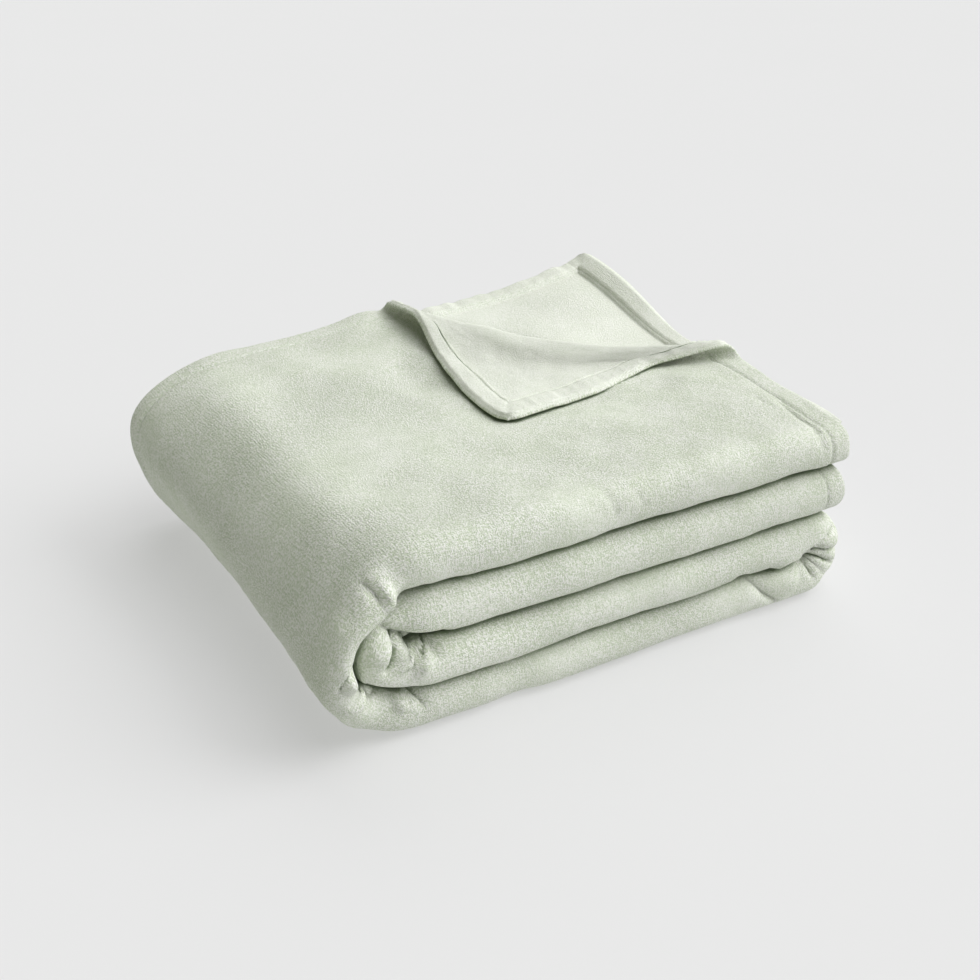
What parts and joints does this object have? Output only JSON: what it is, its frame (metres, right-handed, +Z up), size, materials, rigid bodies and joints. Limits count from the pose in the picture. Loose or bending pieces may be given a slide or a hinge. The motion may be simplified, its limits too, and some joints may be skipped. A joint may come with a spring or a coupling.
{
  "type": "folded multipurpose throw",
  "caption": "Hemmed woven throw, folded into a soft rectangular pack with one corner of the top layer turned back.",
  "frame": {"origin": "middle of the pack's box, on the surface that it rests on", "axes": "+X along the pack towards its free ends, +Y from the front folds to the back, +Z up"},
  "size_m": [0.3944, 0.335, 0.1493],
  "materials": {
    "throw_cloth": "matt woven, pale sage green"
  },
  "bodies": {
    "root": {"throw": "throw_cloth"}
  },
  "joints": []
}
